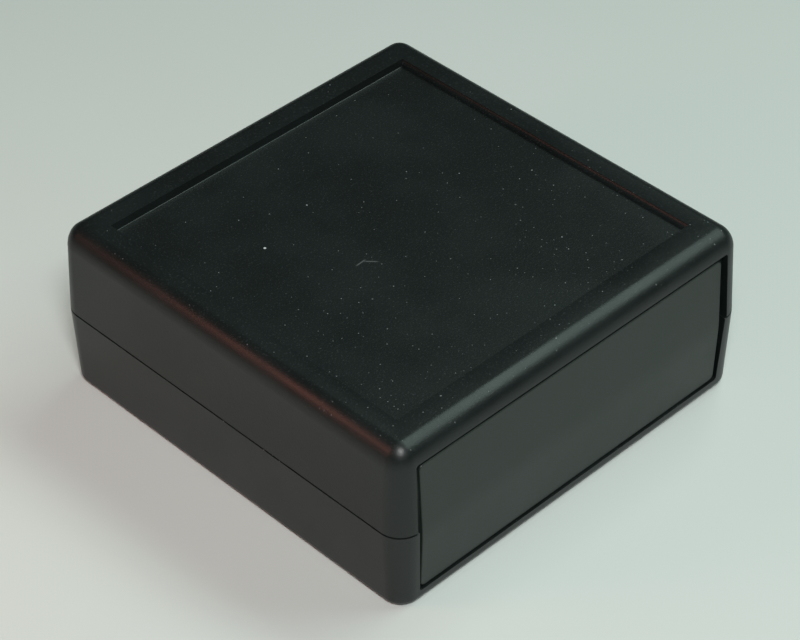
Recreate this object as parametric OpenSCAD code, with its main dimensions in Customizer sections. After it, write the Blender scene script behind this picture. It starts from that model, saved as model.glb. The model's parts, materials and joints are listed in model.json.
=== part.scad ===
// Two-piece moulded project box with end panels: a base, a screwed-on cover and
// a moulded panel held in a groove at each end.
// X runs along the end panels, Y from the front panel (-Y) to the rear panel (+Y),
// Z up from the underside. The origin is the centre of the underside. Millimetres.

/* [Case] */
// Width of the case at the parting line
case_w = 66; // [60:1:120]
// Depth of the case at the parting line, front panel to rear panel
case_d = 67; // [60:1:140]
// Height of the closed case
case_h = 27.2; // [24:0.2:45]
// Height of the parting line between base and cover
parting_z = 13.1; // [11:0.2:16]
// Plan radius of the vertical corners at the parting line
corner_r = 3.4; // [3.4:0.1:6]
// Radius of the round along the top edges
top_round = 2.7; // [1:0.1:3]
// Radius of the round along the bottom edges
bottom_round = 1.4; // [0.5:0.1:1.8]
// Thickness of the side and end walls
wall = 2; // [1.6:0.1:2.4]
// Thickness of the floor
floor_t = 2; // [1.8:0.1:3]
// Thickness of the roof under the label recess
roof_t = 2; // [1.6:0.1:3]
// Radius inside, where the walls meet the floor and the roof
inner_round = 0.6; // [0.2:0.1:1]
// Draft of the base's walls, in degrees
base_draft = 2.4; // [0.5:0.1:3]
// Draft of the cover's walls, in degrees
cover_draft = 2.7; // [0.5:0.1:3]
// Bevel on each half where they meet, which makes the parting groove
parting_bevel = 0.15; // [0.05:0.05:0.4]

/* [Label recess] */
// Width of the rim left and right of the recess
rim_side = 5.5; // [4.5:0.1:15]
// Width of the rim in front of the recess and behind it
rim_end = 6; // [4.5:0.1:15]
// How far the recess is sunk
recess_sink = 1; // [0.3:0.1:1.5]
// How far each wall of the recess leans in towards its floor
recess_lean = 0.3; // [0:0.1:0.6]

/* [Panel windows] */
// Width of each post beside the window in the cover, at the parting line
cover_post_w = 3.25; // [3:0.05:8]
// Width of each post beside the window in the base, at the parting line
base_post_w = 3.55; // [3:0.05:8]
// Taper of the window's sides in the cover, in degrees
cover_window_taper = 1.3; // [0:0.1:3]
// Taper of the window's sides in the base, in degrees
base_window_taper = 2.2; // [0:0.1:3]
// Height of the sill under each window
sill_h = 2; // [1.9:0.1:4]
// Height of the lintel over each window, down from the top
lintel_h = 3; // [2.8:0.1:5]
// Radius in the window's corners
window_round = 0.5; // [0.2:0.1:1]
// Depth of the lip in front of each panel's flange
lip_t = 1.5; // [1.2:0.1:1.7]

/* [End panels] */
// Thickness of the panel's flange
flange_t = 1.5; // [1:0.1:2]
// How far the flange passes behind the window's sides
flange_side_lap = 1.05; // [0.6:0.05:1.2]
// How far the flange passes behind the sill and the lintel
flange_end_lap = 0.8; // [0.5:0.05:1]
// Play of the flange in its groove
groove_play = 0.2; // [0.1:0.05:0.4]
// How far the raised face stays behind the front of the case
face_setback = 0.3; // [0:0.1:0.8]
// Gap beside the raised face, to the base's window at the parting line
face_side_gap = 0.8; // [0.5:0.1:2]
// Gap between the raised face and the sill
face_sill_gap = 0.4; // [0.2:0.1:1]
// Gap between the raised face and the lintel
face_lintel_gap = 0.7; // [0.2:0.1:2]
// Corner radius of the raised face
face_corner_r = 0.8; // [0.2:0.1:2]
// Height of the soft ridge across the raised face
ridge_z = 12.2; // [10:0.1:14]
// Width of the narrow flat that softens the ridge
ridge_w = 2.6; // [0.5:0.1:6]
// Thickness of the rib behind each groove
rib_t = 1.2; // [0.8:0.1:2]
// How far the rib stands in from the walls, the floor and the roof
rib_reach = 1.5; // [1:0.1:2.5]

/* [Parting lip] */
// Thickness of the tongue along the base's side walls
tongue_t = 0.9; // [0.6:0.1:1.1]
// Height of the tongue above the parting line
tongue_h = 1.5; // [0.8:0.1:2.5]
// Bevel on the tongue's outer edge
tongue_bevel = 0.3; // [0.1:0.1:0.5]
// Play between the tongue and the rebate in the cover
tongue_play = 0.1; // [0.05:0.05:0.3]
// Distance of each end of the tongue from the rib behind the panel
tongue_end_gap = 0.6; // [0.4:0.1:2]

/* [Cover screws] */
// Distance of each screw from the side of the case
screw_inset = 7; // [7:0.5:12]
// Diameter of the screw's head
head_d = 5.4; // [4.5:0.1:5.6]
// Height of the screw's head
head_h = 1.9; // [1.2:0.1:2.5]
// Core diameter of the screw's shank
shank_d = 2.2; // [1.8:0.1:2.3]
// Length of the screw under its head
screw_l = 16; // [10:1:16]
// Length of the screw's point
point_l = 2; // [1:0.1:3]
// Diameter of the blunt end of the point
point_d = 0.3; // [0.2:0.1:0.8]
// How much of the head's height is domed
dome_share = 0.55; // [0.3:0.05:0.7]
// Length of each slot of the cross in the head
cross_l = 3.2; // [2:0.1:3.6]
// Width of each slot of the cross in the head
cross_w = 0.8; // [0.5:0.1:1]
// Depth of the cross in the head
cross_depth = 1.2; // [0.6:0.1:1.5]
// Diameter of the counterbore in the base
counterbore_d = 6; // [5.8:0.1:6.4]
// Depth of the counterbore in the base
counterbore_depth = 5; // [3:0.5:7]
// Clearance hole for the screw in the base
clearance_d = 3.2; // [3:0.1:3.6]
// Pilot hole for the screw in the cover
pilot_d = 2.4; // [2.3:0.1:2.6]
// Space past the screw's point in the pilot hole
pilot_spare = 1.2; // [0.5:0.1:2]
// Outer diameter of the screw boss in the base
base_boss_d = 8; // [7.6:0.1:9]
// Outer diameter of the screw boss in the cover
cover_boss_d = 6.6; // [5.5:0.1:8]
// Gap between the two bosses before the screws pull tight
boss_gap = 0.1; // [0:0.05:0.3]
// Thickness of the web from each boss to the side wall
web_t = 1.2; // [0.8:0.1:2]

/* [Board standoffs] */
// Distance of the standoffs from the sides of the case
standoff_inset_x = 11; // [9:0.5:20]
// Distance of the standoffs from the front and the rear of the case
standoff_inset_y = 10.5; // [9:0.5:20]
// Outer diameter of a standoff
standoff_d = 5; // [4:0.1:6]
// Height of a standoff above the floor
standoff_h = 4; // [2:0.5:8]
// Pilot hole in a standoff
standoff_pilot_d = 2.2; // [1.5:0.1:2.6]
// Depth of the pilot hole in a standoff
standoff_pilot_depth = 4; // [2:0.5:5]
// Reach of each gusset from the standoff's side
gusset_reach = 2; // [0.5:0.1:3]
// Height of a gusset above the floor
gusset_h = 3; // [1:0.1:6]
// Thickness of a gusset
gusset_t = 0.9; // [0.6:0.1:1.5]

/* [Hidden] */
$fn = 96;

case_colour = "#26292b";
panel_colour = "#34393a";
steel_colour = "#8d9094";

over = 1;                                         // how far a cut runs past the face it opens
round_start = 6;                                  // a round takes over from its wall at this angle
round_end = 87;                                   // and runs out into the flat at this one
ceiling_z = case_h - recess_sink - roof_t;
lintel_z = case_h - lintel_h;
cover_window_w = case_w - 2 * cover_post_w;
base_window_w = case_w - 2 * base_post_w;
recess_w = case_w - 2 * rim_side;
recess_d = case_d - 2 * rim_end;
screw_x = case_w / 2 - screw_inset;
standoff_x = case_w / 2 - standoff_inset_x;
standoff_y = case_d / 2 - standoff_inset_y;

groove_front = case_d / 2 - lip_t;                // distance of the groove's front side from the middle
groove_w = flange_t + groove_play;
groove_back = groove_front - groove_w;
rib_back = groove_back - rib_t;
groove_floor_z = sill_h - flange_end_lap;
groove_roof_z = lintel_z + flange_end_lap + groove_play;

flange_w = cover_window_w + 2 * flange_side_lap;
flange_h = lintel_z - sill_h + 2 * flange_end_lap;
flange_front = groove_front - groove_play / 2;
face_w = base_window_w - 2 * face_side_gap;
face_bottom_z = sill_h + face_sill_gap;
face_top_z = lintel_z - face_lintel_gap;
face_front = case_d / 2 - face_setback;

tongue_l = 2 * (rib_back - tongue_end_gap);
head_seat_z = counterbore_depth;
screw_tip_z = head_seat_z + screw_l;

// Part of a disc about [x, y], from angle a0 to angle a1.
module sector(x, y, r, a0, a1) {
    reach = 2 * r;
    intersection() {
        translate([x, y]) circle(r);
        polygon([
            [x, y],
            [x + reach * cos(a0), y + reach * sin(a0)],
            [x + reach * cos((a0 + a1) / 2), y + reach * sin((a0 + a1) / 2)],
            [x + reach * cos(a1), y + reach * sin(a1)]
        ]);
    }
}

// Half section of a wall of height h that leans in as it rises and ends in a round.
// X is the distance from the middle, Y is the height.
module leaning_edge(half_w, h, lean, r, bevel = 0) {
    start = [r * cos(round_start), r * sin(round_start)];
    end = [r * cos(round_end), r * sin(round_end)];
    y = h - end.y;
    x = half_w - (y + start.y) * tan(lean) - start.x;
    polygon([
        [0, 0],
        [half_w - bevel, 0],
        [half_w - bevel * tan(lean), bevel],
        [x + start.x, y + start.y],
        [x + end.x, h],
        [0, h]
    ]);
    sector(x, y, r, round_start, round_end);
}

module both_sides() {
    children();
    mirror([1, 0]) children();
}

// A block with round vertical corners whose walls lean in as they rise: a plain
// core, and round it a wall section that is swept along each side and each corner.
module leaning_block(w, d, r, h, lean, edge_r, bevel = 0) {
    core = [w - 2 * r, d - 2 * r];
    e = min(edge_r, r - h * tan(lean));
    for (a = [0, 90, 180, 270]) {
        out = a % 180 == 0 ? core.x : core.y;
        along = a % 180 == 0 ? core.y : core.x;
        rotate(a) translate([out / 2, 0, 0]) {
            rotate([90, 0, 0])
                linear_extrude(along, center = true) leaning_edge(r, h, lean, e, bevel);
            translate([0, along / 2, 0])
                rotate_extrude(angle = 90) leaning_edge(r, h, lean, e, bevel);
        }
    }
    translate([-core.x / 2, -core.y / 2, 0]) cube([core.x, core.y, h]);
}

// The room inside one half, up to its floor or roof at height h over the parting line.
module cavity(h, lean) {
    grow = over * tan(lean);
    translate([0, 0, -over])
        leaning_block(
            case_w - 2 * wall + 2 * grow, case_d - 2 * wall + 2 * grow, corner_r - wall + grow,
            h + over, lean, inner_round
        );
}

module at_both_ends() {
    children();
    rotate(180) children();
}

module at_both_sides() {
    children();
    mirror([1, 0, 0]) children();
}

// A slab across the front end, between two distances from the middle.
module front_slab(w, back, front, z0, z1) {
    translate([-w / 2, -front, z0]) cube([w, front - back, z1 - z0]);
}

// The opening in the end wall of one half, up to height h over the parting line.
module window(w, h, taper) {
    translate([0, -groove_front + over, -over])
        rotate([90, 0, 0])
            linear_extrude(lip_t + 2 * over)
                both_sides()
                    leaning_edge(w / 2 + over * tan(taper), h + over, taper, window_round);
}

// Children drawn upwards from the parting line hang down from it instead.
module hanging() {
    translate([0, 0, parting_z]) mirror([0, 0, 1]) children();
}

module standing() {
    translate([0, 0, parting_z]) children();
}

// The rib behind a groove: a frame that follows the walls, open in the middle.
module groove_rib(z0, z1, open_z0, open_z1) {
    difference() {
        front_slab(case_w, rib_back, groove_back, z0, z1);
        front_slab(
            case_w - 2 * (wall + rib_reach), rib_back - over, groove_back + over, open_z0, open_z1
        );
    }
}

module screw_web(z0, z1) {
    translate([screw_x, -web_t / 2, z0]) cube([case_w / 2 - wall / 2 - screw_x, web_t, z1 - z0]);
}

// Four low fins that brace a standoff on the floor.
module gussets() {
    r = standoff_d / 2;
    gusset_top = min(gusset_h, standoff_h);
    for (a = [0:90:270])
        rotate([90, 0, a])
            linear_extrude(gusset_t, center = true)
                polygon([
                    [0, floor_t / 2],
                    [r + gusset_reach, floor_t / 2],
                    [r + gusset_reach, floor_t],
                    [r, floor_t + gusset_top],
                    [0, floor_t + gusset_top]
                ]);
}

module standoff() {
    difference() {
        union() {
            translate([0, 0, floor_t / 2]) cylinder(d = standoff_d, h = floor_t / 2 + standoff_h);
            gussets();
        }
        translate([0, 0, floor_t + standoff_h - standoff_pilot_depth])
            cylinder(d = standoff_pilot_d, h = standoff_pilot_depth + over);
    }
}

module tongue() {
    inner_x = case_w / 2 - wall;
    top_z = parting_z + tongue_h;
    rotate([90, 0, 0])
        linear_extrude(tongue_l, center = true)
            polygon([
                [inner_x, parting_z - over],
                [inner_x + tongue_t, parting_z - over],
                [inner_x + tongue_t, top_z - tongue_bevel],
                [inner_x + tongue_t - tongue_bevel, top_z],
                [inner_x, top_z]
            ]);
}

module base_shell() {
    color(case_colour)
    difference() {
        union() {
            difference() {
                hanging()
                    leaning_block(
                        case_w, case_d, corner_r, parting_z, base_draft, bottom_round, parting_bevel
                    );
                difference() {
                    hanging() cavity(parting_z - floor_t, base_draft);
                    at_both_ends()
                        groove_rib(floor_t - over, parting_z, floor_t + rib_reach, parting_z + over);
                    at_both_sides() {
                        translate([screw_x, 0, floor_t - over])
                            cylinder(d = base_boss_d, h = parting_z - floor_t + over);
                        screw_web(floor_t - over, parting_z);
                    }
                }
                at_both_ends() {
                    hanging() window(base_window_w, parting_z - sill_h, base_window_taper);
                    front_slab(
                        flange_w + groove_play, groove_back, groove_front, groove_floor_z, parting_z + over
                    );
                }
            }
            at_both_sides() tongue();
            for (x = [-1, 1], y = [-1, 1])
                translate([x * standoff_x, y * standoff_y, 0]) standoff();
        }
        at_both_sides() translate([screw_x, 0, 0]) {
            translate([0, 0, -over]) cylinder(d = counterbore_d, h = counterbore_depth + over);
            cylinder(d = clearance_d, h = parting_z + over);
        }
    }
}

// The label recess: a shallow tray with leaning walls and sharp corners.
module label_recess() {
    slope = recess_lean / recess_sink;
    intersection() {
        rotate([90, 0, 0])
            linear_extrude(case_d, center = true)
                both_sides() recess_section(recess_w / 2, slope);
        rotate([90, 0, 90])
            linear_extrude(case_w, center = true)
                both_sides() recess_section(recess_d / 2, slope);
    }
}

module recess_section(half_w, slope) {
    polygon([
        [0, case_h - recess_sink],
        [half_w - recess_lean, case_h - recess_sink],
        [half_w + over * slope, case_h + over],
        [0, case_h + over]
    ]);
}

module cover_shell() {
    rebate_top_z = parting_z + tongue_h + 2 * tongue_play;
    color(case_colour)
    difference() {
        standing()
            leaning_block(
                case_w, case_d, corner_r, case_h - parting_z, cover_draft, top_round, parting_bevel
            );
        difference() {
            standing() cavity(ceiling_z - parting_z, cover_draft);
            at_both_ends()
                groove_rib(parting_z, ceiling_z + over, parting_z - over, ceiling_z - rib_reach);
            at_both_sides() {
                translate([screw_x, 0, parting_z + boss_gap])
                    cylinder(d = cover_boss_d, h = ceiling_z - parting_z);
                screw_web(rebate_top_z + over, ceiling_z + over);
            }
        }
        at_both_ends() {
            standing() window(cover_window_w, lintel_z - parting_z, cover_window_taper);
            front_slab(
                flange_w + groove_play, groove_back, groove_front, parting_z - over, groove_roof_z
            );
        }
        at_both_sides() {
            translate([case_w / 2 - wall - over, -tongue_l / 2 - tongue_play, parting_z - over])
                cube([
                    over + tongue_t + tongue_play,
                    tongue_l + 2 * tongue_play,
                    rebate_top_z - parting_z + over
                ]);
            translate([screw_x, 0, parting_z])
                cylinder(d = pilot_d, h = screw_tip_z + pilot_spare - parting_z);
        }
        label_recess();
    }
}

// The outline of the raised face, seen from the front.
module face_outline() {
    x = face_w / 2 - face_corner_r;
    for (sx = [-1, 1], z = [face_bottom_z + face_corner_r, face_top_z - face_corner_r])
        translate([sx * x, z]) circle(face_corner_r);
    translate([-x, face_bottom_z]) square([2 * x, face_top_z - face_bottom_z]);
    translate([-face_w / 2, face_bottom_z + face_corner_r])
        square([face_w, face_top_z - face_bottom_z - 2 * face_corner_r]);
}

// The side view of the raised face, which follows the draft of both halves and
// has a soft ridge between them. X is the distance to the front.
module face_section() {
    top_z = ridge_z + ridge_w / 2;
    bottom_z = ridge_z - ridge_w / 2;
    polygon([
        [0, 0],
        [face_front - bottom_z * tan(base_draft), 0],
        [face_front, bottom_z],
        [face_front, top_z],
        [face_front - (case_h - top_z) * tan(cover_draft), case_h],
        [0, case_h]
    ]);
}

module end_panel() {
    color(panel_colour) {
        front_slab(
            flange_w, flange_front - flange_t, flange_front,
            groove_floor_z, groove_floor_z + flange_h
        );
        intersection() {
            translate([0, -flange_front + flange_t / 2, 0])
                rotate([90, 0, 0])
                    linear_extrude(lip_t + flange_t) face_outline();
            rotate([90, 0, -90])
                linear_extrude(case_w, center = true) face_section();
        }
    }
}

module front_panel() {
    end_panel();
}

module rear_panel() {
    rotate(180) end_panel();
}

// A pan-head self-tapping screw with its head down and its thread left plain.
module cover_screw() {
    head_r = head_d / 2;
    dome = head_h * dome_share;
    dome_r = (head_r * head_r + dome * dome) / (2 * dome);
    difference() {
        union() {
            translate([0, 0, -head_h + dome]) cylinder(r = head_r, h = head_h - dome);
            intersection() {
                translate([0, 0, -head_h + dome_r]) sphere(dome_r);
                translate([0, 0, -head_h]) cylinder(r = head_r, h = dome);
            }
            cylinder(d = shank_d, h = screw_l - point_l);
            translate([0, 0, screw_l - point_l]) cylinder(d1 = shank_d, d2 = point_d, h = point_l);
        }
        for (a = [0, 90])
            rotate(a)
                translate([-cross_l / 2, -cross_w / 2, -head_h - over])
                    cube([cross_l, cross_w, cross_depth + over]);
    }
}

module cover_screws() {
    color(steel_colour)
    at_both_sides() translate([screw_x, 0, head_seat_z]) cover_screw();
}

base_shell();
cover_shell();
front_panel();
rear_panel();
cover_screws();
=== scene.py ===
"""Looks of a two-part moulded project box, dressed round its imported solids."""

import json
import logging
import math
from dataclasses import dataclass, field
from enum import Enum, IntEnum
from typing import Any, Callable, Mapping, Sequence, Union

import bmesh
import bpy
from mathutils import Matrix, Vector

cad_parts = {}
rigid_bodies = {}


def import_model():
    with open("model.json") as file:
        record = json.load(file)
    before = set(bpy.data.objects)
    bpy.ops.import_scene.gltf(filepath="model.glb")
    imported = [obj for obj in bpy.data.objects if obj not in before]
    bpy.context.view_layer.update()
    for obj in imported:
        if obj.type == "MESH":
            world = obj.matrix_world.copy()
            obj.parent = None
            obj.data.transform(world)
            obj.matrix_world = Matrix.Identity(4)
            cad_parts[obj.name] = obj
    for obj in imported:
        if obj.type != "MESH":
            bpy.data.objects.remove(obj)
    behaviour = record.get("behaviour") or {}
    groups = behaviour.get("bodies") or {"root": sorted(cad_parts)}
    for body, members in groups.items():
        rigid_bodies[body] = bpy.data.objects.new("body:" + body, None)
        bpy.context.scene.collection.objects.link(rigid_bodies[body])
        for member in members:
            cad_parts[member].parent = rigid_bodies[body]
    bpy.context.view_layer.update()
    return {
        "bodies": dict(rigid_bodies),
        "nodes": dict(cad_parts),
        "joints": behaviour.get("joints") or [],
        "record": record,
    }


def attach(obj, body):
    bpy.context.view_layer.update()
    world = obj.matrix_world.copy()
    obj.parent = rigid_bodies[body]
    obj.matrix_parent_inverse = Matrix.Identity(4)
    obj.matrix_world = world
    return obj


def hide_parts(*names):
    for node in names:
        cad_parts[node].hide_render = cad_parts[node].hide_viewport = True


LOG = logging.getLogger("project_box")
MM = 0.001
BODY = "root"

Colour = tuple[float, float, float]


class Node(Enum):
    """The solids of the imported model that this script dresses."""

    BASE = "base_shell"
    COVER = "cover_shell"
    FRONT_PANEL = "front_panel"
    REAR_PANEL = "rear_panel"
    SCREWS = "cover_screws"


class Slot(Enum):
    """The record's material slots of the pieces that are made anew."""

    CASE = "case_plastic"
    PANEL = "panel_plastic"


class Half(Enum):
    """The two halves of the case, which meet at the parting line."""

    BASE = "base"
    COVER = "cover"


class End(Enum):
    """The two ends of the case, by the sign of Y."""

    FRONT = -1
    REAR = 1


class MixSocket(IntEnum):
    """The colour sockets of a Mix node, by their index."""

    FACTOR = 0
    FIRST = 6
    SECOND = 7
    RESULT = 2


# --- shader maths -----------------------------------------------------------


class Wire:
    """A node's output that stands in Python expressions."""

    def __init__(self, graph: "Graph", socket: bpy.types.NodeSocket) -> None:
        """Wraps a socket.

        Args:
            graph: The graph that the socket's node is in.
            socket: The output.
        """
        self.graph = graph
        self.socket = socket

    def maths(self, operation: str, *values: "Value", clamp: bool = False) -> "Wire":
        """Adds a Math node.

        Args:
            operation: The node's operation.
            values: Its inputs, in order.
            clamp: Whether the result is kept between 0 and 1.

        Returns:
            The result.
        """
        return self.graph.add(
            "ShaderNodeMath",
            {"operation": operation, "use_clamp": clamp},
            dict(enumerate(values)),
        )

    def __add__(self, other: "Value") -> "Wire":
        """self + other"""
        return self.maths("ADD", self, other)

    __radd__ = __add__

    def __sub__(self, other: "Value") -> "Wire":
        """self - other"""
        return self.maths("SUBTRACT", self, other)

    def __rsub__(self, other: "Value") -> "Wire":
        """other - self"""
        return self.maths("SUBTRACT", other, self)

    def __mul__(self, other: "Value") -> "Wire":
        """self * other"""
        return self.maths("MULTIPLY", self, other)

    __rmul__ = __mul__

    def __truediv__(self, other: "Value") -> "Wire":
        """self / other"""
        return self.maths("DIVIDE", self, other)

    def __rtruediv__(self, other: "Value") -> "Wire":
        """other / self"""
        return self.maths("DIVIDE", other, self)

    def __abs__(self) -> "Wire":
        """abs(self)"""
        return self.maths("ABSOLUTE", self)

    def clamped(self) -> "Wire":
        """Kept between 0 and 1."""
        return self.maths("ADD", self, 0.0, clamp=True)

    def between(self, low: float, high: float) -> "Wire":
        """A smooth step from 0 at low to 1 at high, or down where low is the greater.

        Args:
            low: Where the step starts.
            high: Where it ends.

        Returns:
            The step.
        """
        rising = high > low
        return self.graph.add(
            "ShaderNodeMapRange",
            {"interpolation_type": "SMOOTHSTEP"},
            {
                "Value": self,
                "From Min": low if rising else high,
                "From Max": high if rising else low,
                "To Min": 0.0 if rising else 1.0,
                "To Max": 1.0 if rising else 0.0,
            },
        )


Value = Union[Wire, float]
Paint = Union[Wire, Colour]


class Graph:
    """The node tree of one material or of the world."""

    SPECK_LEAST_SIZE = 0.45
    SPECK_LEAST_LIGHT = 0.25
    SPECK_RIM = (0.55, 1.2)

    def __init__(self, tree: bpy.types.NodeTree) -> None:
        """Empties the tree.

        Args:
            tree: The tree to build in.
        """
        self.tree = tree
        tree.nodes.clear()

    def add(
        self,
        kind: str,
        settings: Mapping[str, Any] | None = None,
        sockets: Mapping[int | str, Any] | None = None,
        out: int | str = 0,
    ) -> Wire:
        """Adds a node.

        Args:
            kind: The node's type.
            settings: Its properties, set first. "stops" are a ramp's places and colours.
            sockets: Its inputs, each a value or a Wire.
            out: The output that is wanted.

        Returns:
            That output.
        """
        node = self.tree.nodes.new(kind)
        for key, value in (settings or {}).items():
            if key == "stops":
                self.set_stops(node, value)
            else:
                setattr(node, key, value)
        for key, value in (sockets or {}).items():
            if isinstance(value, Wire):
                self.tree.links.new(value.socket, node.inputs[key])
            else:
                node.inputs[key].default_value = value
        return Wire(self, node.outputs[out]) if node.outputs else Wire(self, None)

    @staticmethod
    def set_stops(node: bpy.types.Node, stops: Sequence[tuple[float, Colour]]) -> None:
        """Sets a ramp's stops.

        Args:
            node: The Color Ramp node.
            stops: The place and the colour of each stop.
        """
        elements = node.color_ramp.elements
        while len(elements) < len(stops):
            elements.new(1.0)
        for element, (place, colour) in zip(elements, stops):
            element.position = place
            element.color = (*colour, 1.0)

    def place(self) -> Wire:
        """Object coordinates, in metres."""
        return self.add("ShaderNodeTexCoord", out="Object")

    def split(self, vector: Wire) -> tuple[Wire, Wire, Wire]:
        """The three parts of a vector.

        Args:
            vector: The vector.

        Returns:
            Its X, Y and Z.
        """
        x = self.add("ShaderNodeSeparateXYZ", sockets={"Vector": vector})
        outputs = x.socket.node.outputs
        return x, Wire(self, outputs["Y"]), Wire(self, outputs["Z"])

    def noise(self, at: Wire, grain: float, detail: float = 2.0, rough: float = 0.5) -> Wire:
        """Noise whose features are about one grain across.

        Args:
            at: The place.
            grain: The size of a feature, in metres.
            detail: The number of finer layers.
            rough: The strength of the finer layers.

        Returns:
            The noise, from 0 to 1.
        """
        return self.add(
            "ShaderNodeTexNoise",
            sockets={"Vector": at, "Scale": 1.0 / grain, "Detail": detail, "Roughness": rough},
        )

    def specks(self, at: Wire, spacing: float, radius: float, share: Value) -> Wire:
        """Round specks scattered over a surface that faces up.

        Args:
            at: The place.
            spacing: The size of the cells that may hold a speck, in metres.
            radius: The radius of a speck, in metres.
            share: The share of cells that hold one.

        Returns:
            The specks, 1 inside and 0 outside, each of its own brightness.
        """
        cells = self.add(
            "ShaderNodeTexVoronoi",
            {"voronoi_dimensions": "2D", "feature": "F1"},
            {"Vector": at, "Scale": 1.0 / spacing},
            out="Distance",
        )
        colour = Wire(self, cells.socket.node.outputs["Color"])
        luck, size, light = self.split(colour)
        edge = radius / spacing
        scaled = self.SPECK_LEAST_SIZE + (1.0 - self.SPECK_LEAST_SIZE) * size
        inside = 1.0 - (cells / (scaled * edge)).between(*self.SPECK_RIM)
        chosen = luck.maths("LESS_THAN", luck, share)
        return inside * chosen * (self.SPECK_LEAST_LIGHT + (1.0 - self.SPECK_LEAST_LIGHT) * light)

    def blend(self, mask: Value, first: "Paint", second: "Paint") -> Wire:
        """Mixes two colours.

        Args:
            mask: 0 for the first and 1 for the second.
            first: A colour or a Wire.
            second: A colour or a Wire.

        Returns:
            The mixed colour.
        """
        return self.add(
            "ShaderNodeMix",
            {"data_type": "RGBA"},
            {
                MixSocket.FACTOR: mask,
                MixSocket.FIRST: self.opaque(first),
                MixSocket.SECOND: self.opaque(second),
            },
            out=MixSocket.RESULT,
        )

    @staticmethod
    def opaque(paint: "Paint") -> Wire | tuple[float, float, float, float]:
        """A plain colour with its alpha, or a Wire as it is."""
        return paint if isinstance(paint, Wire) else (*paint, 1.0)

    def bump(self, height: Wire, depth: float, strength: float = 1.0) -> Wire:
        """A bumped normal.

        Args:
            height: The height, from 0 to 1.
            depth: The depth of the relief, in metres.
            strength: The strength of the bump.

        Returns:
            The normal.
        """
        return self.add(
            "ShaderNodeBump",
            sockets={"Height": height, "Distance": depth, "Strength": strength},
        )

    def surface(self, **sockets: Any) -> None:
        """Ends the graph in a Principled surface.

        Args:
            sockets: The Principled node's inputs, with _ for each space.
        """
        named = {key.replace("_", " "): value for key, value in sockets.items()}
        shader = self.add("ShaderNodeBsdfPrincipled", sockets=named, out="BSDF")
        self.add("ShaderNodeOutputMaterial", sockets={"Surface": shader})


def new_material(name: str) -> tuple[bpy.types.Material, Graph]:
    """An empty material and its graph.

    Args:
        name: The material's name.

    Returns:
        Both.
    """
    material = bpy.data.materials.new(name)
    material.use_nodes = True
    return material, Graph(material.node_tree)


# --- finishes ---------------------------------------------------------------


@dataclass(frozen=True)
class Scratch:
    """A short pale scratch on the top, from start to end, in metres."""

    start: tuple[float, float]
    end: tuple[float, float]
    width: float = 0.16 * MM
    core: float = 0.3
    start_fade: tuple[float, float] = (-0.1, 0.25)
    end_fade: tuple[float, float] = (1.1, 0.7)

    def mask(self, graph: Graph, x: Wire, y: Wire) -> Wire:
        """Where the scratch is.

        Args:
            graph: The material's graph.
            x: The place along the width.
            y: The place along the depth.

        Returns:
            1 on the scratch and 0 off it.
        """
        run = Vector(self.end) - Vector(self.start)
        along = run.normalized()
        dx = x - self.start[0]
        dy = y - self.start[1]
        far = dx * along.x + dy * along.y
        off = abs(dy * along.x - dx * along.y)
        begun = far.between(*(share * run.length for share in self.start_fade))
        going = far.between(*(share * run.length for share in self.end_fade))
        return begun * going * off.between(self.width, self.core * self.width)


@dataclass(frozen=True)
class Specks:
    """Pale specks of one kind, each in a cell of its own, mostly dust; the small kind is
    thickened towards the front with painted glints. Sizes are in metres.
    """

    spacing: float
    radius: float
    share: float
    weight: float


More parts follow.
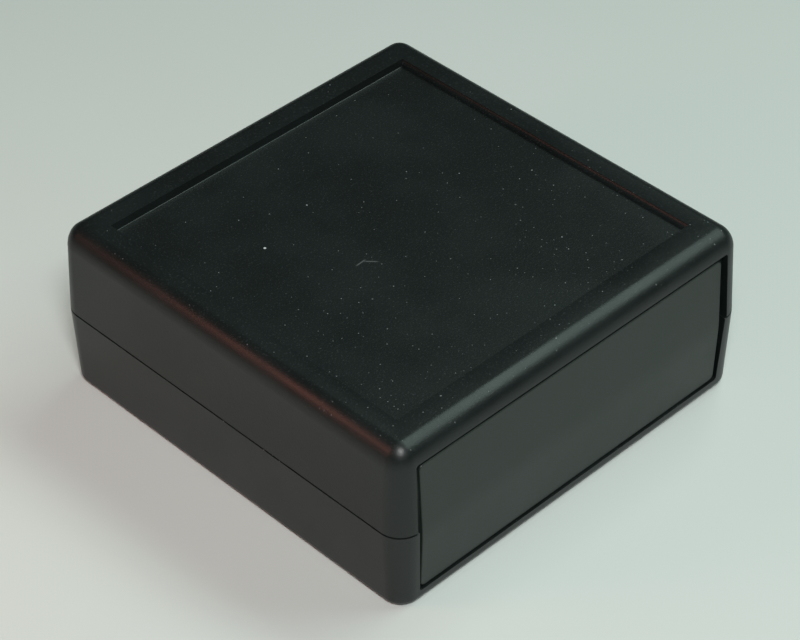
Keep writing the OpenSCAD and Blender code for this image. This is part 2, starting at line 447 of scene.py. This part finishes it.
@dataclass(frozen=True)
class CasePlastic:
    """Black plastic with the fine texture of a spark-eroded mould, some dust, and pale specks
    thickened towards the front as painted glints.
    """

    colour: Colour = (0.0042, 0.0070, 0.0066)
    haze: Colour = (0.0033, 0.0052, 0.0048)
    dust_and_glints: Colour = (0.62, 0.68, 0.68)
    roughness: float = 0.37
    dusty_roughness: float = 0.3
    ior: float = 1.46
    grain: float = 0.24 * MM
    grain_depth: float = 0.016 * MM
    pit_scale: float = 1.6
    pit_share: float = 0.35
    upward: tuple[float, float] = (0.35, 0.8)
    handled_size: float = 16 * MM
    handled_range: tuple[float, float] = (0.36, 0.64)
    handled_roughness: float = 0.05
    film_range: tuple[float, float] = (0.55, 0.75)
    film: float = 0.035
    small_specks: Specks = Specks(1.1 * MM, 0.10 * MM, 0.03, 0.30)
    large_specks: Specks = Specks(7.0 * MM, 0.14 * MM, 0.30, 0.40)
    # painted glints: the extra share of small pale specks towards the front edge stands in for
    # the lamp's sparkle on the grain
    front_glint_share: float = 0.15
    front_glint_range: tuple[float, float] = (14 * MM, -26 * MM)
    speck: tuple[float, float] = (-15.3 * MM, 10.2 * MM)
    speck_rim: tuple[float, float] = (0.24 * MM, 0.10 * MM)
    speck_weight: float = 0.8
    scratch_weight: float = 0.10
    scratches: tuple[Scratch, ...] = (
        Scratch((-9.3 * MM, -1.2 * MM), (-7.4 * MM, -1.1 * MM)),
        Scratch((-7.9 * MM, -1.2 * MM), (-6.5 * MM, -2.7 * MM)),
    )

    def build(self) -> bpy.types.Material:
        """Builds the material.

        Returns:
            The material.
        """
        material, g = new_material("case_plastic_textured")
        at = g.place()
        x, y, z = g.split(at)
        normal = g.add("ShaderNodeNewGeometry", out="Normal")
        facing = g.split(normal)[2].between(*self.upward)
        handled = g.noise(at, self.handled_size, 3.0, 0.55).between(*self.handled_range)
        fine = g.noise(at, self.grain, 3.0, 0.62)
        pits = g.add(
            "ShaderNodeTexVoronoi",
            {"feature": "SMOOTH_F1"},
            {"Vector": at, "Scale": 1.0 / (self.pit_scale * self.grain), "Smoothness": 0.4},
        )
        relief = fine * (1.0 - self.pit_share) + pits * self.pit_share

        # painted glints: the share of small pale specks rises towards the front edge, standing in
        # for the lamp's sparkle on the grain; the rest of the specks are dust
        front_glint = y.between(*self.front_glint_range)
        small, large = self.small_specks, self.large_specks
        share = small.share + self.front_glint_share * front_glint
        many_dust_and_glints = g.specks(at, small.spacing, small.radius, share)
        few = g.specks(at, large.spacing, large.radius, large.share)
        speck_x, speck_y = self.speck
        off_x, off_y = x - speck_x, y - speck_y
        distance = off_x.maths("SQRT", off_x * off_x + off_y * off_y)
        one = self.speck_weight * distance.between(*self.speck_rim)
        # dust specks together with the painted glints at the front, on faces that look up
        dust_and_glints = (facing * (many_dust_and_glints * small.weight + few * large.weight + one)).clamped()
        marks = sum((scratch.mask(g, x, y) for scratch in self.scratches), 0.0)

        body = g.blend(handled, self.haze, self.colour)
        body = g.blend(fine.between(*self.film_range) * facing * self.film, body, self.dust_and_glints)
        body = g.blend(marks * facing * self.scratch_weight, body, self.dust_and_glints)
        g.surface(
            Base_Color=g.blend(dust_and_glints, body, self.dust_and_glints),
            Roughness=self.roughness
            + self.handled_roughness * handled
            + self.dusty_roughness * dust_and_glints,
            IOR=self.ior,
            Normal=g.bump(relief, self.grain_depth),
        )
        return material


@dataclass(frozen=True)
class PanelPlastic:
    """Smoother satin plastic of the end panels."""

    colour: Colour = (0.0125, 0.0185, 0.0150)
    cloud: Colour = (0.0100, 0.0145, 0.0118)
    roughness: float = 0.36
    cloud_roughness: float = 0.06
    grain_roughness: float = 0.04
    ior: float = 1.46
    cloud_size: float = 9 * MM
    cloud_range: tuple[float, float] = (0.35, 0.65)
    grain: float = 0.30 * MM
    grain_depth: float = 0.003 * MM

    def build(self) -> bpy.types.Material:
        """Builds the material.

        Returns:
            The material.
        """
        material, g = new_material("panel_plastic_satin")
        at = g.place()
        cloud = g.noise(at, self.cloud_size, 3.0, 0.6).between(*self.cloud_range)
        fine = g.noise(at, self.grain, 2.0, 0.55)
        g.surface(
            Base_Color=g.blend(cloud, self.cloud, self.colour),
            Roughness=self.roughness
            + self.cloud_roughness * cloud
            + self.grain_roughness * fine,
            IOR=self.ior,
            Normal=g.bump(fine, self.grain_depth),
        )
        return material


@dataclass(frozen=True)
class ZincSteel:
    """Zinc-plated steel of the cover screws."""

    colour: Colour = (0.62, 0.63, 0.62)
    stain: Colour = (0.40, 0.40, 0.38)
    roughness: float = 0.30
    stain_roughness: float = 0.15
    stain_size: float = 1.4 * MM
    stain_range: tuple[float, float] = (0.40, 0.70)
    grain: float = 0.25 * MM
    grain_depth: float = 0.004 * MM

    def build(self) -> bpy.types.Material:
        """Builds the material.

        Returns:
            The material.
        """
        material, g = new_material("screw_zinc")
        at = g.place()
        stain = g.noise(at, self.stain_size, 3.0, 0.6).between(*self.stain_range)
        fine = g.noise(at, self.grain, 2.0, 0.5)
        g.surface(
            Base_Color=g.blend(stain, self.colour, self.stain),
            Metallic=1.0,
            Roughness=self.roughness + self.stain_roughness * stain,
            Normal=g.bump(fine, self.grain_depth),
        )
        return material


# --- pieces -----------------------------------------------------------------


class Shell:
    """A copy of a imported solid, merged into one mesh, that bmesh operators finish."""

    MERGE = 0.002 * MM
    ON_PLANE = 1e-7
    FLAT_DEGREES = 0.4
    EDGE_DEGREES = 30.0
    SHARP_DEGREES = 35.0
    NORMAL_WEIGHT = 100

    def __init__(self, frame: Mapping[str, Any], node: Node) -> None:
        """Copies the node's mesh.

        Args:
            node: The node.
        """
        self.node = node
        self.bm = bmesh.new()
        self.bm.from_mesh(frame["nodes"][node.value].data)
        bmesh.ops.remove_doubles(self.bm, verts=self.bm.verts, dist=self.MERGE)
        bmesh.ops.dissolve_limit(
            self.bm,
            angle_limit=math.radians(self.FLAT_DEGREES),
            use_dissolve_boundaries=False,
            verts=self.bm.verts,
            edges=self.bm.edges,
            delimit=set(),
        )

    def edges(
        self,
        wanted: Callable[[Vector, bmesh.types.BMEdge], bool],
        least: float = EDGE_DEGREES,
    ) -> list[bmesh.types.BMEdge]:
        """The edges at which the surface turns, as far as a test wants them.

        Args:
            wanted: The test, on an edge's middle and the edge.
            least: The least angle between the faces, in degrees.

        Returns:
            The edges.
        """
        found = []
        for edge in self.bm.edges:
            if len(edge.link_faces) != 2 or edge.calc_face_angle(0.0) < math.radians(least):
                continue
            middle = (edge.verts[0].co + edge.verts[1].co) / 2
            if wanted(middle / MM, edge):
                found.append(edge)
        return found

    def bevel(self, edges: list[bmesh.types.BMEdge], size: float, segments: int) -> None:
        """Rounds edges.

        Args:
            edges: The edges.
            size: How far the round reaches, in metres.
            segments: The number of faces across it.
        """
        if not edges:
            raise ValueError(f"no edge to round on {self.node.value}")
        bmesh.ops.bevel(
            self.bm,
            geom=edges,
            offset=size,
            offset_type="OFFSET",
            segments=segments,
            profile=0.5,
            material=-1,
            affect="EDGES",
            clamp_overlap=True,
        )

    def cut(self, place: Vector, normal: Vector) -> None:
        """Cuts the faces along a plane and keeps both sides.

        Args:
            place: A point of the plane, in millimetres.
            normal: The plane's normal.
        """
        everything = self.bm.verts[:] + self.bm.edges[:] + self.bm.faces[:]
        bmesh.ops.bisect_plane(
            self.bm,
            geom=everything,
            dist=self.ON_PLANE,
            plane_co=place * MM,
            plane_no=normal,
        )

    def move(self, wanted: Callable[[Vector], Vector | None]) -> int:
        """Moves vertices by what a rule gives.

        Args:
            wanted: The rule: from a place to its shift, or None, in millimetres.

        Returns:
            The number of vertices that moved.
        """
        count = 0
        for vert in self.bm.verts:
            shift = wanted(vert.co / MM)
            if shift is not None:
                vert.co += shift * MM
                count += 1
        return count

    def finish(self, name: str, material: bpy.types.Material, slot: Slot) -> None:
        """Makes the object that stands for the node.

        Args:
            name: The object's name.
            material: Its finish.
            slot: The record's slot; not used.
        """
        mesh = bpy.data.meshes.new(name)
        self.bm.to_mesh(mesh)
        self.bm.free()
        mesh.shade_smooth()
        mesh.set_sharp_from_angle(angle=math.radians(self.SHARP_DEGREES))
        mesh.materials.clear()
        mesh.materials.append(material)
        piece = bpy.data.objects.new(name, mesh)
        bpy.context.scene.collection.objects.link(piece)
        weigh = piece.modifiers.new("weighted_normals", "WEIGHTED_NORMAL")
        weigh.keep_sharp = True
        weigh.weight = self.NORMAL_WEIGHT
        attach(piece, BODY)
        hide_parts(self.node.value)
        LOG.info("%s: %d faces", name, len(mesh.polygons))


@dataclass
class CaseHalf:
    """One half of the case, with the rounds that its mould gives its edges.

    Places and spans are in millimetres, and the sizes of rounds in metres.
    """

    half: Half
    width: float = 66.0
    depth: float = 67.0
    top_z: float = 27.2
    parting_z: float = 13.1
    corner_r: float = 3.4
    parting_bevel: float = 0.15
    parting_margin: float = 0.3
    groove_depth: float = 0.45
    groove_slack_z: float = 0.02
    groove_slack: float = 0.03
    window_z: tuple[float, float] = (1.6, 24.6)
    window_y: float = 32.4
    post_x: tuple[float, float] = (28.5, 29.9)
    upright: float = 0.8
    window_round: float = 0.12 * MM
    post_round: float = 0.26 * MM
    round_start_z: float = 24.6
    round_least_reach: float = 0.05
    round_drop_front: float = 0.16
    round_drop_side: float = 0.20
    cover_lean: float = math.tan(math.radians(2.7))
    recess_z: float = 26.1
    recess_x: float = 27.4
    recess_y: tuple[float, float] = (27.0, 27.8)
    recess_round: float = 0.07 * MM
    bore_x: float = 26.0
    bore_r: float = 3.0
    bore_slack_z: float = 0.05
    bore_slack: float = 0.2
    bore_round: float = 0.25 * MM

    @property
    def node(self) -> Node:
        """The solid that this half dresses."""
        return Node.BASE if self.half is Half.BASE else Node.COVER

    def build(self, frame: Mapping[str, Any], material: bpy.types.Material) -> None:
        """Builds the half.

        Args:
            material: The case's finish.
        """
        shell = Shell(frame, self.node)
        shell.bevel(shell.edges(self.on_post), self.post_round, 4)
        shell.bevel(shell.edges(self.on_window), self.window_round, 2)
        if self.half is Half.COVER:
            shell.bevel(shell.edges(self.on_recess), self.recess_round, 3)
            moved = shell.move(self.round_shift)
            LOG.info("%s: top round eased at %d points", self.node.value, moved)
        else:
            shell.bevel(shell.edges(self.on_bore), self.bore_round, 3)
        moved = shell.move(self.groove_shift)
        LOG.info("%s: groove deepened at %d points", self.node.value, moved)
        shell.finish(f"{self.half.value}_half", material, Slot.CASE)

    def from_core(self, at: Vector) -> Vector:
        """How far a point lies outside the rectangle of the corners' centres.

        Args:
            at: The point, in millimetres.

        Returns:
            The distances in X and Y, none of them negative.
        """
        core_x = self.width / 2 - self.corner_r
        core_y = self.depth / 2 - self.corner_r
        return Vector((max(abs(at.x) - core_x, 0.0), max(abs(at.y) - core_y, 0.0)))

    def by_window(self, at: Vector) -> bool:
        """Whether a point is on the rim of a window, off the parting line.

        Args:
            at: The point, in millimetres.

        Returns:
            True for the rim.
        """
        low, high = self.window_z
        off_parting = abs(at.z - self.parting_z) > self.parting_margin
        return low < at.z < high and abs(at.y) > self.window_y and off_parting

    def is_upright(self, edge: bmesh.types.BMEdge) -> bool:
        """Whether an edge rises by most of its length."""
        rise = abs(edge.verts[0].co.z - edge.verts[1].co.z)
        return rise > self.upright * edge.calc_length()

    def groove_shift(self, at: Vector) -> Vector | None:
        """How a point of the parting groove's floor moves inwards.

        Args:
            at: The point, in millimetres.

        Returns:
            The shift, or None for any other point.
        """
        if abs(at.z - self.parting_z) > self.groove_slack_z:
            return None
        off = self.from_core(at)
        if abs(off.length - (self.corner_r - self.parting_bevel)) > self.groove_slack:
            return None
        pull = off.normalized() * (self.groove_depth - self.parting_bevel)
        return Vector((-math.copysign(pull.x, at.x), -math.copysign(pull.y, at.y), 0.0))

    def round_shift(self, at: Vector) -> Vector | None:
        """How a point of the round along the top edges moves down.

        The round is a little taller than it is wide, most of all at the sides.

        Args:
            at: The point, in millimetres.

        Returns:
            The shift, or None for any other point.
        """
        off = self.from_core(at)
        if at.z < self.round_start_z or off.length < self.round_least_reach:
            return None
        out = off.normalized()
        drop = (self.top_z - at.z) * (self.round_drop_front + self.round_drop_side * out.x**2)
        push = out * drop * self.cover_lean
        return Vector((math.copysign(push.x, at.x), math.copysign(push.y, at.y), -drop))

    def on_window(self, at: Vector, edge: bmesh.types.BMEdge) -> bool:
        """Whether an edge is the outer edge of a window's sill or lintel.

        Args:
            at: The edge's middle, in millimetres.
            edge: The edge.

        Returns:
            True for those edges of both windows.
        """
        inside = abs(at.x) < self.post_x[1]
        return inside and self.by_window(at) and not self.is_upright(edge)

    def on_post(self, at: Vector, edge: bmesh.types.BMEdge) -> bool:
        """Whether an edge is the outer edge of a post beside a window.

        Args:
            at: The edge's middle, in millimetres.
            edge: The edge.

        Returns:
            True for the long edges of all posts.
        """
        beside = self.post_x[0] < abs(at.x) < self.post_x[1]
        return beside and self.by_window(at) and self.is_upright(edge)

    def on_recess(self, at: Vector, edge: bmesh.types.BMEdge) -> bool:
        """Whether an edge belongs to the rear wall of the label recess.

        Args:
            at: The edge's middle, in millimetres.
            edge: The edge.

        Returns:
            True for that wall's edges.
        """
        near, far = self.recess_y
        return at.z > self.recess_z and abs(at.x) < self.recess_x and near < at.y < far

    def on_bore(self, at: Vector, edge: bmesh.types.BMEdge) -> bool:
        """Whether an edge is the mouth of a screw's counterbore.

        Args:
            at: The edge's middle, in millimetres.
            edge: The edge.

        Returns:
            True for the mouths of both counterbores.
        """
        reach = math.hypot(abs(at.x) - self.bore_x, at.y)
        return at.z < self.bore_slack_z and abs(reach - self.bore_r) < self.bore_slack


@dataclass
class EndPanel:
    """An end panel with a softly ridged face and rounded edges.

    Places and spans are in millimetres, and the size of the arris in metres.
    """

    end: End
    face_front: float = 33.2
    flange_front: float = 31.9
    ridge_z: float = 12.0
    ridge_half: float = 1.8
    base_lean: float = math.tan(math.radians(2.4))
    cover_lean: float = math.tan(math.radians(2.7))
    levels: int = 12
    top_z: float = 23.5
    bottom_z: float = 2.4
    edge_band: float = 0.9
    flange_slack: float = 0.1
    face_step: float = 0.4
    settle: float = 0.13
    arris: float = 0.17 * MM
    arris_degrees: float = 50.0

    def build(self, frame: Mapping[str, Any], material: bpy.types.Material) -> None:
        """Builds the panel.

        Args:
            material: The panels' finish.
        """
        node = Node.FRONT_PANEL if self.end is End.FRONT else Node.REAR_PANEL
        shell = Shell(frame, node)
        for step in range(self.levels + 1):
            z = self.ridge_z + self.ridge_half * (2 * step / self.levels - 1)
            shell.cut(Vector((0, 0, z)), Vector((0, 0, 1)))
        shell.move(self.settling)
        shell.move(self.facing)
        shell.bm.normal_update()
        arris = shell.edges(lambda at, edge: self.is_face(at), self.arris_degrees)
        shell.bevel(arris, self.arris, 3)
        shell.finish(f"{self.end.name.lower()}_end_panel", material, Slot.PANEL)

    def settling(self, at: Vector) -> Vector | None:
        """How the raised face's top and bottom settle down in the window.

        Args:
            at: A point, in millimetres.

        Returns:
            The shift, or None for a point of the flange.
        """
        behind = self.end.value * at.y < self.flange_front - self.flange_slack
        if behind or self.bottom_z + self.edge_band < at.z < self.top_z - self.edge_band:
            return None
        return Vector((0.0, 0.0, -self.settle))

    def is_face(self, at: Vector) -> bool:
        """Whether a place in millimetres is on the raised face."""
        return self.end.value * at.y > self.flange_front + self.face_step

    def facing(self, at: Vector) -> Vector | None:
        """How a point of the face moves on to the ridged surface.

        Args:
            at: The point, in millimetres.

        Returns:
            The shift, or None for a point behind the face.
        """
        if not self.is_face(at):
            return None
        return Vector((0.0, self.end.value * self.front_at(at.z) - at.y, 0.0))

    def front_at(self, z: float) -> float:
        """How far the face stands from the middle at a height.

        Args:
            z: The height, in millimetres.

        Returns:
            The distance, in millimetres.
        """
        off = z - self.ridge_z
        if off > self.ridge_half:
            return self.face_front - off * self.cover_lean
        if off < -self.ridge_half:
            return self.face_front + off * self.base_lean
        share = (off + self.ridge_half) / (2 * self.ridge_half)
        slope = self.base_lean + (self.cover_lean + self.base_lean) * -share / 2
        start = self.face_front - self.ridge_half * self.base_lean
        return start + (off + self.ridge_half) * slope


@dataclass
class CoverScrews:
    """The two screws under the case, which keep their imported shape."""

    finish: ZincSteel = field(default_factory=ZincSteel)

    def build(self, frame: Mapping[str, Any]) -> None:
        """Dresses the screws.
        """
        screws = frame["nodes"][Node.SCREWS.value]
        material = self.finish.build()
        for slot in screws.material_slots:
            slot.material = material
        LOG.info("%s dressed", Node.SCREWS.value)


# --- studio -----------------------------------------------------------------


@dataclass(frozen=True)
class Softbox:
    """A flat area light that looks at the object.

    Its length lies along a given direction, as nearly as its aim allows.
    """

    name: str
    place: tuple[float, float, float]
    length: float
    breadth: float
    radiance: float
    colour: Colour
    along: tuple[float, float, float] = (1.0, 0.0, 0.0)
    aim: tuple[float, float, float] = (0.0, 0.0, 0.013)

    def build(self) -> None:
        """Adds the light."""
        lamp = bpy.data.lights.new(self.name, "AREA")
        lamp.shape = "RECTANGLE"
        lamp.size = self.length
        lamp.size_y = self.breadth
        lamp.energy = self.radiance * math.pi * self.length * self.breadth
        lamp.color = self.colour
        back = (Vector(self.place) - Vector(self.aim)).normalized()
        side = Vector(self.along)
        side = (side - back * side.dot(back)).normalized()
        turn = Matrix((side, back.cross(side), back)).transposed().to_4x4()
        holder = bpy.data.objects.new(self.name, lamp)
        holder.matrix_world = Matrix.Translation(self.place) @ turn
        bpy.context.scene.collection.objects.link(holder)
        LOG.info("light %s", self.name)


@dataclass
class Studio:
    """The floor, the lights and the camera."""

    floor_colour: Colour = (0.575, 0.60, 0.575)
    floor_lighter: float = 1.03
    floor_tone: float = 60 * MM
    floor_half: float = 3.0
    world_colour: Colour = (0.040, 0.052, 0.050)
    azimuth: float = -44.0
    elevation: float = 40.317
    roll: float = -0.702
    distance: float = 383.63
    target: tuple[float, float, float] = (-2.954, -2.919, 14.0)
    lens: float = 126.3672
    sensor: float = 36.0
    lights: tuple[Softbox, ...] = (
        Softbox(
            name="window",
            place=(0.40, -0.14, 0.63),
            length=0.76,
            breadth=0.22,
            radiance=5.6,
            colour=(0.78, 1.0, 0.92),
            along=(0.0, 0.95, 0.31),
        ),
        Softbox(
            name="warm_bounce",
            place=(-0.152, 0.062, 0.096),
            length=0.06,
            breadth=0.06,
            radiance=4.4,
            colour=(1.0, 0.38, 0.29),
        ),
        Softbox(
            name="lamp",
            place=(-0.26, -0.31, 0.52),
            length=0.14,
            breadth=0.14,
            radiance=54.0,
            colour=(0.98, 1.0, 1.0),
        ),
    )

    def build(self) -> None:
        """Builds the studio."""
        self.add_floor()
        self.add_world()
        for light in self.lights:
            light.build()
        self.add_camera()

    def add_floor(self) -> None:
        """Adds the floor under the case."""
        bm = bmesh.new()
        bmesh.ops.create_grid(bm, x_segments=1, y_segments=1, size=self.floor_half)
        mesh = bpy.data.meshes.new("floor")
        bm.to_mesh(mesh)
        bm.free()
        material, g = new_material("floor_paint")
        at = g.place()
        tone = g.noise(at, self.floor_tone, 2.0, 0.5)
        lighter = tuple(self.floor_lighter * c for c in self.floor_colour)
        g.surface(
            Base_Color=g.blend(tone, self.floor_colour, lighter),
            Roughness=0.6,
            IOR=1.4,
        )
        mesh.materials.append(material)
        floor = bpy.data.objects.new("floor", mesh)
        bpy.context.scene.collection.objects.link(floor)

    def add_world(self) -> None:
        """Sets a dim even world, as in a plain room."""
        world = bpy.data.worlds.new("studio_world")
        bpy.context.scene.world = world
        world.use_nodes = True
        g = Graph(world.node_tree)
        colour = (*self.world_colour, 1.0)
        background = g.add("ShaderNodeBackground", sockets={"Color": colour, "Strength": 1.0})
        g.add("ShaderNodeOutputWorld", sockets={"Surface": background})

    def add_camera(self) -> None:
        """Adds the camera, turned about its target."""
        az, el, roll = (math.radians(v) for v in (self.azimuth, self.elevation, self.roll))
        back = Vector((math.sin(az) * math.cos(el), -math.cos(az) * math.cos(el), math.sin(el)))
        right = Vector((math.cos(az), math.sin(az), 0.0))
        up = back.cross(right)
        turned_right = math.cos(roll) * right + math.sin(roll) * up
        turned_up = math.cos(roll) * up - math.sin(roll) * right
        camera = bpy.data.cameras.new("camera")
        camera.lens = self.lens
        camera.sensor_width = self.sensor
        camera.clip_start = 0.01
        camera.clip_end = 20.0
        holder = bpy.data.objects.new("camera", camera)
        place = (Vector(self.target) + back * self.distance) * MM
        turn = Matrix((turned_right, turned_up, back)).transposed().to_4x4()
        holder.matrix_world = Matrix.Translation(place) @ turn
        bpy.context.scene.collection.objects.link(holder)
        bpy.context.scene.camera = holder


def clear_scene() -> None:
    """Removes what Blender starts with."""
    for thing in list(bpy.data.objects):
        bpy.data.objects.remove(thing, do_unlink=True)


def main() -> None:
    """Dresses the box and builds the studio."""
    logging.basicConfig(level=logging.INFO, format="%(message)s")
    clear_scene()
    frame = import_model()
    case_finish = CasePlastic().build()
    panel_finish = PanelPlastic().build()
    for half in Half:
        CaseHalf(half).build(frame, case_finish)
    for end in End:
        EndPanel(end).build(frame, panel_finish)
    CoverScrews().build(frame)
    Studio().build()
    scene = bpy.context.scene
    scene.view_settings.view_transform = "Standard"


if __name__ == "__main__":
    main()
